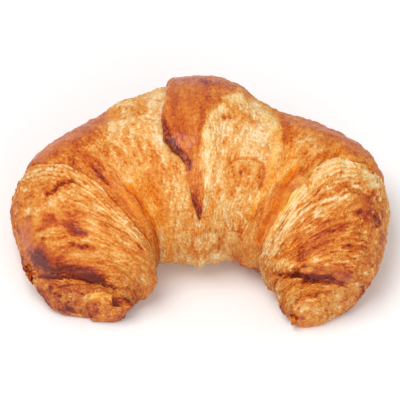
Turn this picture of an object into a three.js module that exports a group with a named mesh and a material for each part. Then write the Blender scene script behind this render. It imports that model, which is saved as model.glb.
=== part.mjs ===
// A curved croissant: one piece of laminated dough, rolled up from a triangle and bent into a
// crescent. Millimetres, +Z up, the horns point to -Y and the flat of the base lies on Z = 0.
//
// The roll is a loft. Cross-sections stand across it from the left tip to the right tip, each
// between a point of the outer plan outline and one of the inner. Over the loft lie the layers
// of the roll: each ends in a lip, and the next one comes out from under it, a step lower.

import * as THREE from 'three';

// Driving sizes
const centreHeight = 53.5;      // of the plain loft, at the middle of the roll
const tipHeightShare = 0.35;    // what is left of that height at the tips
const heightPower = 2.2;        // how late the roll thins towards its tips
const belly = 0.43;             // height of the widest level, as a share of the height
const undersideDrop = 1.2;      // the base would reach this far below the widest level
const squareness = 0.92;        // power of the section's curve, 1 is an ellipse
const floorEase = 2;            // over this height the sides turn into the flat base
const swell = 0.5;              // all round, above the plain loft
const lipShare = 0.38;          // part of a step that stands up as the lip
const footShare = 0.62;         // part of it that sinks in below the lip
const lipGap = 0.07;            // stations between a lip and the foot of the next layer
const middleLip = { start: 0.02, end: 0.35 };   // shares of the middle over which its lips rise
const footSpan = 0.55;          // share of a layer over which it rises from its foot
const lipSpan = { start: 0.35, end: 0.95 };     // and over which it rises to its lip
const tipBulge = 0.75;          // share of the bulge that a tip runs through
const tongueGap = { left: 0.3, right: 0.2 };    // stations that the columns beside it keep free
const ringSteps = 60;           // facets round the roll

// Plan outlines, from the left tip to the right tip
const outerOutline = [
  [-44, -55.2], [-57, -53.3], [-65.2, -45.8], [-70, -33], [-73.2, -15], [-67, 0.6], [-51.2, 11.9],
  [-36, 22.5], [-18, 29], [0, 32.5], [16.5, 29], [31.5, 21], [49, 14.5], [64.8, 5], [73, -11.2],
  [70.9, -31], [66.6, -45.8], [58.5, -53.4], [48.5, -57.5],
];
const innerOutline = [
  [-31, -54.6], [-27, -52.6], [-23.5, -51], [-19.8, -48.2], [-19, -44], [-18.3, -40.2],
  [-17, -37.6], [-14, -36.4], [-7.5, -35.7], [0, -35.8], [7, -35.5], [13, -35.7], [19, -37.4],
  [23.3, -40.5], [27, -44.5], [30, -49], [31.8, -53.3], [34, -56.3], [37.5, -57.7],
];
const tipStation = (outerOutline.length - 1) / 2;   // stations count from the middle
const tipReach = { left: [2.5, -3], right: [-2, -2.5] };

// The edges of the layers. Each list goes round the roll by eighths: back, back top, top, front
// top, front, and the underside from the front to the back. The place of an edge is its station.
const edges = {
  leftTip: {
    place: [-6.5, -7.45, -8.2, -8.35, -7, -6.7, -6.6, -6.5],
    step: [1, 1, 1.8, 1, 0.6, 0.4, 0.3, 0.5],
  },
  leftHorn: {
    place: [-4.2, -4.12, -3.97, -4.4, -4.1, -4, -4.1, -4.2],
    step: [1.3, 1.6, 1.6, 0.6, 0.1, 0.2, 0.3, 0.7],
  },
  leftMiddle: {
    place: [-1.7, -2.1, -3.1, -3.15, -2.5, -2.2, -2, -1.8],
    step: [0.6, 0.5, 0.2, 0.1, 0.1, 0.1, 0.2, 0.4],
  },
  rightMiddle: {
    place: [1.3, 1.9, 2.75, 2.95, 2.05, 1.7, 1.5, 1.3],
    step: [0.4, 0.4, 0.8, 0.3, 0.1, 0.1, 0.2, 0.4],
  },
  rightHorn: {
    place: [4.85, 4.42, 3.85, 4.08, 4, 4.2, 4.5, 4.8],
    step: [1.3, 1.5, 1.6, 0.6, 0.1, 0.2, 0.3, 0.7],
  },
  rightTip: {
    place: [7, 7.68, 7.4, 6.8, 5.9, 6, 6.3, 6.7],
    step: [1, 1.6, 2.9, 2, 0.8, 0.4, 0.3, 0.6],
  },
};

// The layers outwards from the middle one: the edge they come out from under, their own lip,
// and how far they bulge between the two
const middleCrown = 2.2;
const layers = [
  { foot: 'leftMiddle', lip: 'leftHorn', crown: 1.2 },
  { foot: 'leftHorn', lip: 'leftTip', crown: 1.6 },
  { foot: 'leftTip', lip: null, crown: 0.8 },
  { foot: 'rightMiddle', lip: 'rightHorn', crown: 1.4 },
  { foot: 'rightHorn', lip: 'rightTip', crown: 1.6 },
  { foot: 'rightTip', lip: null, crown: 0.8 },
];
const layerColumns = [0, 0.08, 0.2, 0.34, 0.48, 0.62, 0.76, 0.88, 0.95, 1];
const tipColumns = [0, 0.15, 0.35, 0.6, 0.8, 1];
const capColumns = [0.3, 0.55, 0.78];
const middleColumns = [0.03, 0.15, 0.4, 0.7, 0.94];

// The tongue is the point of the dough triangle. It lies over the middle layer from the back
// down to the front. Angles in degrees round the roll, edges in stations, thickness in mm.
const tongue = {
  angle: [-90, -45, 0, 33, 49, 69, 82, 97, 105, 109, 114, 127, 137, 146, 153],
  left: [-2, -1.3, -0.8, -0.72, -0.74, -0.93, -1.1, -1.22, -1, -0.78, -0.58, -0.5, -0.4, -0.25, -0.05],
  right: [1.5, 1.2, 1.05, 0.95, 0.85, 0.6, 0.42, 0.3, 0.3, 0.3, 0.3, 0.32, 0.34, 0.3, 0.1],
  thick: [0, 1, 2.6, 3.4, 3.6, 3.8, 4, 4.1, 3.2, 2.2, 1.6, 1.4, 1.3, 1.1, 0.2],
};
const tongueLipWidth = 0.06;                  // stations over which its left edge rises
const tongueFade = { start: 0.6, end: 1.4 };  // shares of its width where it fades out

// Knobs and dents: station, angle, half width in stations and in degrees, height
const knobs = [
  { name: 'flake at the far left', at: [-5.36, 8], wide: [0.22, 9], high: 1.8 },
  { name: 'flake low on the left', at: [-6.5, -8], wide: [0.25, 10], high: 2 },
  { name: 'blister on the left horn', at: [-6.68, 81], wide: [0.22, 9], high: 1.6 },
  { name: 'fold beside the blister', at: [-6.57, 66], wide: [0.22, 20], high: 1 },
  { name: 'open end of the left tip', at: [-9.5, 125], wide: [0.35, 22], high: -4.5 },
  { name: 'nub of the left tip', at: [-9.3, 172], wide: [0.3, 14], high: 2.5 },
  { name: 'end lobe of the left tip', at: [-9.5, 320], wide: [0.4, 30], high: 1.5 },
  { name: 'notch of the right tip', at: [9.5, 183], wide: [0.25, 16], high: -3 },
  { name: 'point under the front', at: [0, 202], wide: [0.3, 7], high: 1.2 },
  { name: 'hole beside the tongue', at: [0.7, 34], wide: [0.1, 5], high: -1.8 },
  { name: 'shoulder of the middle', at: [-1.95, 38], wide: [0.35, 14], high: 1.8 },
  { name: 'left shoulder of the tongue', at: [-0.9, 36], wide: [0.3, 20], high: 1.2 },
  { name: 'right shoulder of the tongue', at: [1.05, 36], wide: [0.45, 20], high: 0.7 },
  { name: 'right shoulder of the middle', at: [1.85, 36], wide: [0.3, 16], high: 1.2 },
  { name: 'shoulder of the right horn', at: [4.6, 352], wide: [0.8, 25], high: 1.5 },
];

// A smooth curve through the four values a, b, c, d, from b to c
const blend = (a, b, c, d, f) => 0.5 * (2 * b + (c - a) * f
  + (2 * a - 5 * b + 4 * c - d) * f ** 2 + (3 * b - a - 3 * c + d) * f ** 3);

// A smooth step from 0 at a to 1 at b
const ease = (a, b, x) => {
  const t = THREE.MathUtils.clamp((x - a) / (b - a), 0, 1);
  return t * t * (3 - 2 * t);
};

const degrees = (angle) => THREE.MathUtils.radToDeg(angle);

// A value from a list that goes round the roll
function roundTheRoll(list, angle) {
  const t = THREE.MathUtils.euclideanModulo(angle / (2 * Math.PI), 1) * list.length;
  const i = Math.floor(t);
  const at = (k) => list[THREE.MathUtils.euclideanModulo(k, list.length)];
  return blend(at(i - 1), at(i), at(i + 1), at(i + 2), t - i);
}

// A point of a plan outline at a station
function alongOutline(outline, station) {
  const last = outline.length - 1;
  const t = THREE.MathUtils.clamp(station + tipStation, 0, last);
  const i = Math.min(Math.floor(t), last - 1);
  const at = (k) => outline[THREE.MathUtils.clamp(k, 0, last)];
  const value = (axis) => blend(at(i - 1)[axis], at(i)[axis], at(i + 1)[axis], at(i + 2)[axis], t - i);
  return new THREE.Vector2(value(0), value(1));
}

// A value of the tongue, straight between its listed angles
function tongueValue(list, angle) {
  const turn = THREE.MathUtils.euclideanModulo(degrees(angle) + 90, 360) - 90;
  const next = tongue.angle.findIndex((a) => a > turn);
  if (next < 0) return list === tongue.thick ? 0 : list.at(-1);
  if (next === 0) return list[0];
  const share = (turn - tongue.angle[next - 1]) / (tongue.angle[next] - tongue.angle[next - 1]);
  return THREE.MathUtils.lerp(list[next - 1], list[next], share);
}

// Thickness of the tongue: steep at its left edge, fading away on its right
function tongueRelief(station, angle) {
  const left = tongueValue(tongue.left, angle);
  const width = Math.max(tongueValue(tongue.right, angle) - left, 0.05);
  const share = (station - left) / width;
  return tongueValue(tongue.thick, angle)
    * ease(-tongueLipWidth, tongueLipWidth, station - left)
    * (1 - ease(tongueFade.start, tongueFade.end, share));
}

// Each knob is a round bump in station and angle
function knobRelief(station, angle) {
  return knobs.reduce((sum, { at, wide, high }) => {
    const turn = THREE.MathUtils.euclideanModulo(degrees(angle) - at[1] + 180, 360) - 180;
    return sum + high * Math.exp(-(((station - at[0]) / wide[0]) ** 2) - (turn / wide[1]) ** 2);
  }, 0);
}

// The middle layer bulges, and stands up towards both its lips
function middleRelief(share, angle) {
  const left = roundTheRoll(edges.leftMiddle.step, angle);
  const right = roundTheRoll(edges.rightMiddle.step, angle);
  return middleCrown * Math.sin(Math.PI * share)
    + lipShare * (left * (1 - ease(middleLip.start, middleLip.end, share))
      + right * ease(1 - middleLip.end, 1 - middleLip.start, share));
}

// Any other layer sinks in at its foot, bulges and rises to its lip
function layerRelief(layer, share, angle) {
  const foot = roundTheRoll(edges[layer.foot].step, angle);
  const lip = layer.lip ? roundTheRoll(edges[layer.lip].step, angle) : 0;
  return layer.crown * Math.sin(Math.PI * share)
    - footShare * foot * (1 - ease(0, footSpan, share))
    + lipShare * lip * ease(lipSpan.start, lipSpan.end, share);
}

// A point of the crust. Past the last station the section closes into a rounded tip.
function crustPoint(station, angle, relief) {
  const outer = alongOutline(outerOutline, station);
  const inner = alongOutline(innerOutline, station);
  const centre = outer.clone().add(inner).multiplyScalar(0.5);
  const halfWidth = outer.distanceTo(inner) / 2;
  const across = outer.clone().sub(inner).normalize();
  const thinning = Math.min(Math.abs(station) / tipStation, 1) ** heightPower;
  const height = centreHeight * (1 - (1 - tipHeightShare) * thinning);
  const level = belly * height;
  const rise = Math.sin(angle) > 0 ? height - level : undersideDrop * level;

  const curve = (x) => Math.sign(x) * Math.abs(x) ** squareness;
  const out = new THREE.Vector2(Math.cos(angle) / halfWidth, Math.sin(angle) / rise).normalize();
  const closing = Math.max(Math.abs(station) - tipStation, 0) * Math.PI / 2;
  const sideways = (halfWidth * curve(Math.cos(angle)) + relief * out.x) * Math.cos(closing);
  const up = level + (rise * curve(Math.sin(angle)) + relief * out.y) * Math.cos(closing);
  const reach = station < 0 ? tipReach.left : tipReach.right;
  return new THREE.Vector3(
    centre.x + across.x * sideways + reach[0] * Math.sin(closing),
    centre.y + across.y * sideways + reach[1] * Math.sin(closing),
    restOnFloor(up),
  );
}

// Nothing goes below the base: the sides turn smoothly into it
function restOnFloor(z) {
  if (z > floorEase) return z;
  return z < -floorEase ? 0 : (z + floorEase) ** 2 / (4 * floorEase);
}

// One column of the mesh is a closed ring of crust points
function column(stationAt, reliefAt) {
  return Array.from({ length: ringSteps }, (_, k) => {
    const angle = (2 * Math.PI * k) / ringSteps;
    const station = stationAt(angle);
    const relief = swell + reliefAt(station, angle)
      + tongueRelief(station, angle) + knobRelief(station, angle);
    return crustPoint(station, angle, relief);
  });
}

// Columns of the middle layer, gathered at both sides of the tongue's steep edge
function middleLayerColumns() {
  const firstAt = (angle) => roundTheRoll(edges.leftMiddle.place, angle) + lipGap / 2;
  const lastAt = (angle) => roundTheRoll(edges.rightMiddle.place, angle) - lipGap / 2;
  const leftAt = (angle) => Math.max(tongueValue(tongue.left, angle), firstAt(angle) + tongueGap.left);
  const rightAt = (angle) => Math.max(tongueValue(tongue.right, angle), leftAt(angle) + tongueGap.right);
  const spans = [
    [firstAt, (a) => leftAt(a) - tongueLipWidth, [0, ...middleColumns, 1]],
    [(a) => leftAt(a) + tongueLipWidth, rightAt, [0, 0.12, 0.35, 0.65, 1]],
    [rightAt, lastAt, [...middleColumns, 1]],
  ];
  return spans.flatMap(([from, to, shares]) => shares.map((share) => column(
    (angle) => THREE.MathUtils.lerp(from(angle), to(angle), share),
    (station, angle) => {
      const first = firstAt(angle);
      return middleRelief((station - first) / (lastAt(angle) - first), angle);
    },
  )));
}

// Columns of an outer layer from its foot to its lip, or to the end of the tip
function outerLayerColumns(layer) {
  const side = Math.sign(edges[layer.foot].place[0]);
  const end = side * (tipStation + 1);
  const footAt = (angle) => roundTheRoll(edges[layer.foot].place, angle) + side * lipGap / 2;
  const lipAt = (angle) => (layer.lip
    ? roundTheRoll(edges[layer.lip].place, angle) - side * lipGap / 2 : side * tipStation);
  const reliefAt = (station, angle) => {
    const foot = footAt(angle);
    const share = layer.lip
      ? (station - foot) / (lipAt(angle) - foot) : tipBulge * (station - foot) / (end - foot);
    return layerRelief(layer, share, angle);
  };
  const columns = (layer.lip ? layerColumns : tipColumns).map((share) => column(
    (angle) => THREE.MathUtils.lerp(footAt(angle), lipAt(angle), share), reliefAt));
  const caps = layer.lip ? [] : capColumns.map((part) => column(
    () => side * (tipStation + part), reliefAt));
  return [...columns, ...caps];
}

// All columns from the left tip to the right tip, closed by a point at each end
function crustGeometry() {
  const outward = layers.map(outerLayerColumns);
  const leftSide = [...outward[0], ...outward[1], ...outward[2]].reverse();
  const rightSide = [...outward[3], ...outward[4], ...outward[5]];
  const columns = [...leftSide, ...middleLayerColumns(), ...rightSide];
  const poles = [-1, 1].map((side) => crustPoint(side * (tipStation + 1), 0, 0));

  const points = [...columns.flat(), ...poles];
  const index = [];
  const at = (c, r) => c * ringSteps + (r % ringSteps);
  const lastColumn = columns.length - 1;
  const [leftPole, rightPole] = [points.length - 2, points.length - 1];
  for (let r = 0; r < ringSteps; r += 1) {
    index.push(leftPole, at(0, r + 1), at(0, r));
    index.push(rightPole, at(lastColumn, r), at(lastColumn, r + 1));
    for (let c = 0; c < lastColumn; c += 1) {
      index.push(at(c, r), at(c + 1, r + 1), at(c + 1, r));
      index.push(at(c, r), at(c, r + 1), at(c + 1, r + 1));
    }
  }
  const geometry = new THREE.BufferGeometry().setFromPoints(points);
  geometry.setIndex(index);

  // The origin is the middle of the base
  geometry.computeBoundingBox();
  const middle = geometry.boundingBox.getCenter(new THREE.Vector3());
  geometry.translate(-middle.x, -middle.y, -geometry.boundingBox.min.z);
  geometry.computeVertexNormals();
  return geometry;
}

const bakedCrust = new THREE.MeshStandardMaterial({ color: 0xdb8e4f, roughness: 0.5, metalness: 0 });
const croissant = new THREE.Mesh(crustGeometry(), bakedCrust);
croissant.name = 'croissant';

const object = new THREE.Group();
object.add(croissant);

export default object;
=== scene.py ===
import math

import bpy
import numpy as np
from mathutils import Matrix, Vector


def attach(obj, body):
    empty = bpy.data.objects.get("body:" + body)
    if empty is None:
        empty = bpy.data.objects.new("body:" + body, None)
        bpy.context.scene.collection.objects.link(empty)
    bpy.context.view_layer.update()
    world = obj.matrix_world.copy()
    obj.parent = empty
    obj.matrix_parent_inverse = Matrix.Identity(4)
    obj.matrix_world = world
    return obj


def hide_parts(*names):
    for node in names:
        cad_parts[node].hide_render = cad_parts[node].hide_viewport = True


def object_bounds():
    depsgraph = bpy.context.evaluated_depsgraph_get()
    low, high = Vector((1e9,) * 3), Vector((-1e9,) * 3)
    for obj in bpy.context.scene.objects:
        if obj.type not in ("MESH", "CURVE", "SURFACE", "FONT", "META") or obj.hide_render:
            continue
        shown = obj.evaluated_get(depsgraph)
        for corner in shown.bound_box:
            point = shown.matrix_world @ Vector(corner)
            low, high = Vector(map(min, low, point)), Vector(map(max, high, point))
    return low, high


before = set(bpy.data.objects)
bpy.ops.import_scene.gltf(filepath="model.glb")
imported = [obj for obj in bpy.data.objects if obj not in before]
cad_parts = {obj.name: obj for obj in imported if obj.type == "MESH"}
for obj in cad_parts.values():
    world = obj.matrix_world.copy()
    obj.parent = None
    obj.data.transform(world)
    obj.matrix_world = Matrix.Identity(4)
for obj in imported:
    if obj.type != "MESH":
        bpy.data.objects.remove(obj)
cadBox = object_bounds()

# A curved croissant, seen from the side of its horns. Shapes are worked out in millimetres in the
# roll's own plan, and moved to the frame and to metres when a mesh is made.
# A place on the crust is a station along the roll, counted from the middle, and an angle round
# it: 0 at the back, a quarter turn at the top, half a turn at the front, between the horns.

# The roll: plan outlines from the left tip to the right tip, and its section
roll = {
    "outer": [[-44, -55.2], [-57, -53.3], [-65.2, -45.8], [-70, -33], [-73.2, -15], [-67, 0.6],
              [-51.2, 11.9], [-36, 22.5], [-18, 29], [0, 32.5], [16.5, 29], [31.5, 21], [49, 14.5],
              [64.8, 5], [73, -11.2], [70.9, -31], [66.6, -45.8], [58.5, -53.4], [48.5, -57.5]],
    "inner": [[-31, -54.6], [-27, -52.6], [-23.5, -51], [-19.8, -48.2], [-19, -44], [-18.3, -40.2],
              [-17, -37.6], [-14, -36.4], [-7.5, -35.7], [0, -35.8], [7, -35.5], [13, -35.7],
              [19, -37.4], [23.3, -40.5], [27, -44.5], [30, -49], [31.8, -53.3], [34, -56.3],
              [37.5, -57.7]],
    "height": 53.5,          # of the plain loft, at the middle
    "tipShare": 0.35,        # of that height left at the tips
    "heightPower": 2.2,      # how late the roll thins towards its tips
    "belly": 0.43,           # share of the height where the roll is widest
    "undersideDrop": 1.2,    # the base would reach this far below that level, as a share of it
    "squareness": 0.92,      # power of the section's curve, 1 is an ellipse
    "floorEase": 2.0,        # over this height the sides turn into the flat base
    "swell": 0.5,            # all round, above the plain loft
    "lipShare": 0.38,        # part of a step that stands up as the lip
    "footShare": 0.62,       # part of it that sinks in below the lip
    "middleLip": (0.02, 0.35),      # shares of the middle over which its lips rise
    "footSpan": 0.55,        # share of a layer over which it rises from its foot
    "lipSpan": (0.35, 0.95),        # and over which it rises to its lip
    "flushSpan": (-0.01, 0.09),     # shares over which a soft foot leaves its neighbour's level
    "wrapEase": 0.3,         # share over which the bulge of a wrap sets in
    "tipBulge": 0.75,        # share of the bulge that a tip runs through
    "reachLeft": [2.5, -3.0],       # from the last station to the point of the tip
    "reachRight": [-2.0, -2.5],
    "stationLength": 14.0,   # of the roll's middle line between two stations
}
tipStation = (len(roll["outer"]) - 1) / 2

# Edges of the layers, given round the roll by eighths: their station, the depth of the step, and
# over how many millimetres the colours on both sides of a soft one mix
edges = {
    "leftTip": {"place": [-6.5, -7.45, -8.2, -8.35, -7, -6.7, -6.6, -6.5],
                "step": [1, 1, 1.8, 1, 0.6, 0.4, 0.3, 0.5]},
    "leftHorn": {"place": [-4.2, -4.12, -3.97, -4.4, -4.1, -4, -4.1, -4.2],
                 "step": [1.3, 1.6, 1.6, 0.6, 0.1, 0.2, 0.3, 0.7]},
    "leftMiddle": {"place": [-1.7, -2.1, -3.1, -3.15, -2.5, -2.2, -2, -1.8],
                   "step": [0.6, 0.5, 0.2, 0.1, 0.1, 0.1, 0.2, 0.4],
                   "soft": [5, 5, 6, 5, 4, 4, 5, 5]},
    "rightMiddle": {"place": [1.3, 1.9, 2.75, 2.95, 2.05, 1.7, 1.5, 1.3],
                    "step": [0.4, 0.4, 0.8, 0.3, 0.1, 0.1, 0.2, 0.4],
                    "soft": [4, 3, 2, 3, 4, 4, 4, 4]},
    "rightHorn": {"place": [4.85, 4.42, 3.85, 4.08, 4, 4.2, 4.5, 4.8],
                  "step": [1.3, 1.5, 1.6, 0.6, 0.1, 0.2, 0.3, 0.7]},
    "rightTip": {"place": [7, 7.68, 7.4, 6.8, 5.9, 6, 6.3, 6.7],
                 "step": [1, 1.6, 2.9, 2, 0.8, 0.4, 0.3, 0.6]},
}

# Knobs and dents: station, angle in degrees, half widths in stations and degrees, height
knobs = [
    (-5.36, 8, 0.22, 9, 1.0),      # bump under the flake at the far left
    (-6.5, -8, 0.25, 10, 1.2),     # and under the one low on the left
    (-6.68, 81, 0.22, 9, 1.6),     # blister on the left horn
    (-6.57, 66, 0.22, 20, 1.0),    # fold beside it
    (-9.5, 125, 0.35, 22, -4.5),   # open end of the left tip
    (-9.3, 172, 0.3, 14, 2.5),     # its nub
    (-9.5, 320, 0.4, 30, 1.5),     # its end lobe
    (9.5, 183, 0.25, 16, -3.0),    # notch of the right tip
    (0, 202, 0.3, 7, 1.2),         # point under the front
    (0.7, 34, 0.1, 5, -1.8),       # hole beside the tongue
    (-1.95, 38, 0.35, 14, 1.8),    # shoulder of the middle
    (-0.9, 36, 0.3, 20, 1.2),      # shoulders beside the tongue
    (1.05, 36, 0.45, 20, 0.7),
    (1.85, 36, 0.3, 16, 1.2),      # right shoulder of the middle
    (4.6, 352, 0.8, 25, 1.5),      # shoulder of the right horn
]


# Cubic curve from b to c that passes smoothly on to a and d
def blendFour(a, b, c, d, f):
    return 0.5 * (2 * b + (c - a) * f + (2 * a - 5 * b + 4 * c - d) * f**2
                  + (3 * b - a - 3 * c + d) * f**3)


# Smooth step: 0 up to a, 1 from b on, 3tt - 2ttt between
def ease(a, b, x):
    t = np.clip((x - a) / (b - a), 0, 1)
    return t * t * (3 - 2 * t)


# Value of a list that goes round the roll, as a closed cubic curve through its entries
def roundTheRoll(values, angle):
    values = np.asarray(values, float)
    t = np.mod(angle / (2 * np.pi), 1) * len(values)
    i = t.astype(int)
    at = lambda k: values[np.mod(k, len(values))]
    return blendFour(at(i - 1), at(i), at(i + 1), at(i + 2), t - i)


# Point of a plan outline at a station, as an open cubic curve through its points
def alongOutline(outline, station):
    outline = np.asarray(outline, float)
    last = len(outline) - 1
    t = np.clip(station + tipStation, 0, last)
    i = np.minimum(t.astype(int), last - 1)
    at = lambda k: outline[np.clip(k, 0, last)]
    return blendFour(at(i - 1), at(i), at(i + 1), at(i + 2), (t - i)[..., None])


# Nothing goes below the base: heights under the ease run into zero along a parabola
def restOnFloor(z):
    m = roll["floorEase"]
    return np.where(z > m, z, np.where(z < -m, 0.0, (z + m) ** 2 / (4 * m)))


# Size of the section at a station: the line across the roll between the outlines, its length, and
# the height, which thins out towards the tips by a power of the way there
def section(station):
    across = alongOutline(roll["outer"], station) - alongOutline(roll["inner"], station)
    thinning = np.minimum(np.abs(station) / tipStation, 1) ** roll["heightPower"]
    return across, np.linalg.norm(across, axis=-1), roll["height"] * (
        1 - (1 - roll["tipShare"]) * thinning)


# Mean radius of the section, a quarter of width and height together, closing to 0 at the tips
def girthAt(station):
    station = np.asarray(station, float)
    _, width, height = section(station)
    return (width + height) / 4 * np.cos(np.clip(np.abs(station) - tipStation, 0, 1) * np.pi / 2)


# Point of the crust: a squarish oval across the roll between the outlines, pushed outwards by the
# relief. Past the last station it closes to a point, and shrink draws it in towards its centre.
def crustPoint(station, angle, relief, shrink=1.0):
    across, width, height = section(station)
    middle = (alongOutline(roll["outer"], station) + alongOutline(roll["inner"], station)) / 2
    across = across / width[..., None]
    level = roll["belly"] * height
    c, s = np.cos(angle), np.sin(angle)
    rise = np.where(s > 0, height - level, roll["undersideDrop"] * level)
    curve = lambda x: np.sign(x) * np.abs(x) ** roll["squareness"]
    outX, outZ = c / (width / 2), s / rise
    size = np.hypot(outX, outZ)
    closing = np.clip(np.abs(station) - tipStation, 0, 1) * np.pi / 2
    close = np.cos(closing) * shrink
    sideways = (width / 2 * curve(c) + relief * outX / size) * close
    up = level + (rise * curve(s) + relief * outZ / size) * close
    reach = np.where((station < 0)[..., None], roll["reachLeft"], roll["reachRight"])
    place = middle + across * sideways[..., None] + reach * np.sin(closing)[..., None]
    return np.concatenate([place, restOnFloor(up)[..., None]], -1)


# Scrambled whole number for each lattice corner and seed: the coordinates times large numbers,
# added up, then mixed with their own upper bits
def scramble(x, y, z, seed):
    h = (x.astype(np.uint32) * np.uint32(374761393) + y.astype(np.uint32) * np.uint32(668265263)
         + z.astype(np.uint32) * np.uint32(2246822519) + np.uint32(seed * 3266489917 & 0xFFFFFFFF))
    h = (h ^ (h >> np.uint32(13))) * np.uint32(1274126177)
    return h ^ (h >> np.uint32(16))


# Gradient noise, about -1 to 1: slopes drawn at whole-number corners, blended by fifth powers
def noise(q, seed):
    q = q + 1000.0
    base = np.floor(q)
    f = (q - base).astype(np.float32)
    base = base.astype(np.int64)
    w = f * f * f * (f * (f * 6 - 15) + 10)
    total = np.zeros(q.shape[:-1], np.float32)
    for corner in np.ndindex(2, 2, 2):
        h = scramble(*(base[..., k] + corner[k] for k in range(3)), seed)
        slope = 0.0
        weight = 1.0
        for k in range(3):
            part = (h >> np.uint32(10 * k) & np.uint32(1023)).astype(np.float32) / 511.5 - 1
            slope = slope + part * (f[..., k] - corner[k])
            weight = weight * (w[..., k] if corner[k] else 1 - w[..., k])
        total += slope * weight
    return total * 1.2


# Sum of noises, each twice as fine and half as strong as the one before, spreading by about 1
def cloud(q, seed, octaves=3):
    return sum(noise(q * 2**k, seed + k) / 2**k for k in range(octaves)) / 0.26


# Place on the crust as a point of the straightened roll, in millimetres over the grain, so that
# patterns follow the roll and meet round it; stretch makes them longer round it than along it
def onRoll(station, angle, grain, stretch=1.0):
    along = station * roll["stationLength"] / grain
    radius = girthAt(station) / (grain * stretch)
    return np.stack([along, radius * np.cos(angle), radius * np.sin(angle)], -1)


# Sum of the knobs, each a round bump in station and angle
def knobRelief(station, angle):
    total = 0.0
    for at, turn, wide, wideTurn, high in knobs:
        off = np.mod(np.degrees(angle) - turn + 180, 360) - 180
        total = total + high * np.exp(-((station - at) / wide) ** 2 - (off / wideTurn) ** 2)
    return total


# Baked look of each layer. brown is its depth of colour from 0, dough, to 1, burnt.
# foot and lip are the edges it runs between, and footPale is how much lighter the opened layers
# beside its foot are, over footReach millimetres. plainLayer holds what a layer doesn't state.
plainLayer = {"lip": None, "footPale": 0.0, "footReach": 4.0, "lipBrown": 0.0, "lipRadius": 1.1,
              "leaves": 0.0, "leafReach": 12.0, "patches": 1.0, "seed": 11}
layers = {
    "middle": {"foot": "leftMiddle", "lip": "rightMiddle", "crown": 2.2, "brown": 0.35,
               "footReach": 6.0, "lipRadius": 1.8,
               "lumps": 0.8, "streaks": 0.35, "pores": 0.65, "web": 1.25, "flecks": 0.9},
    "wrapLeft": {"foot": "leftMiddle", "lip": "leftHorn", "crown": 1.2, "brown": 0.55,
                 "lipBrown": 0.03,
                 "lumps": 0.6, "streaks": 0.6, "pores": 0.3, "web": 0.5, "flecks": 1.0},
    "wrapRight": {"foot": "rightMiddle", "lip": "rightHorn", "crown": 1.4, "brown": 0.52,
                  "lipBrown": 0.02,
                  "lumps": 0.7, "streaks": 0.6, "pores": 0.4, "web": 0.6, "flecks": 1.0},
    "hornLeft": {"foot": "leftHorn", "lip": "leftTip", "crown": 1.6, "brown": 0.48,
                 "footPale": -0.13, "footReach": 8.0, "lipBrown": 0.1,
                 "leaves": 0.8, "leafReach": 13.0, "seed": 41,
                 "lumps": 0.8, "streaks": 1.1, "pores": 0.5, "web": 0.8, "flecks": 1.1},
    "hornRight": {"foot": "rightHorn", "lip": "rightTip", "crown": 1.6, "brown": 0.50,
                  "footPale": -0.20, "footReach": 10.0,
                  "leaves": 0.85, "leafReach": 17.0, "seed": 53,
                  "lumps": 0.8, "streaks": 1.3, "pores": 0.5, "web": 1.1, "flecks": 1.8},
    "tipLeft": {"foot": "leftTip", "crown": 0.8, "brown": 0.61,
                "leaves": 0.5, "leafReach": 10.0, "patches": 1.6, "seed": 67,
                "lumps": 1.3, "streaks": 0.7, "pores": 1.0, "web": 1.2, "flecks": 1.2},
    "tipRight": {"foot": "rightTip", "crown": 0.8, "brown": 0.50, "footPale": -0.08,
                 "leaves": 0.3, "leafReach": 8.0, "patches": 1.8, "seed": 79,
                 "lumps": 1.4, "streaks": 0.7, "pores": 1.2, "web": 1.3, "flecks": 1.2},
}
layers = {name: {**plainLayer, **layer} for name, layer in layers.items()}

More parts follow.
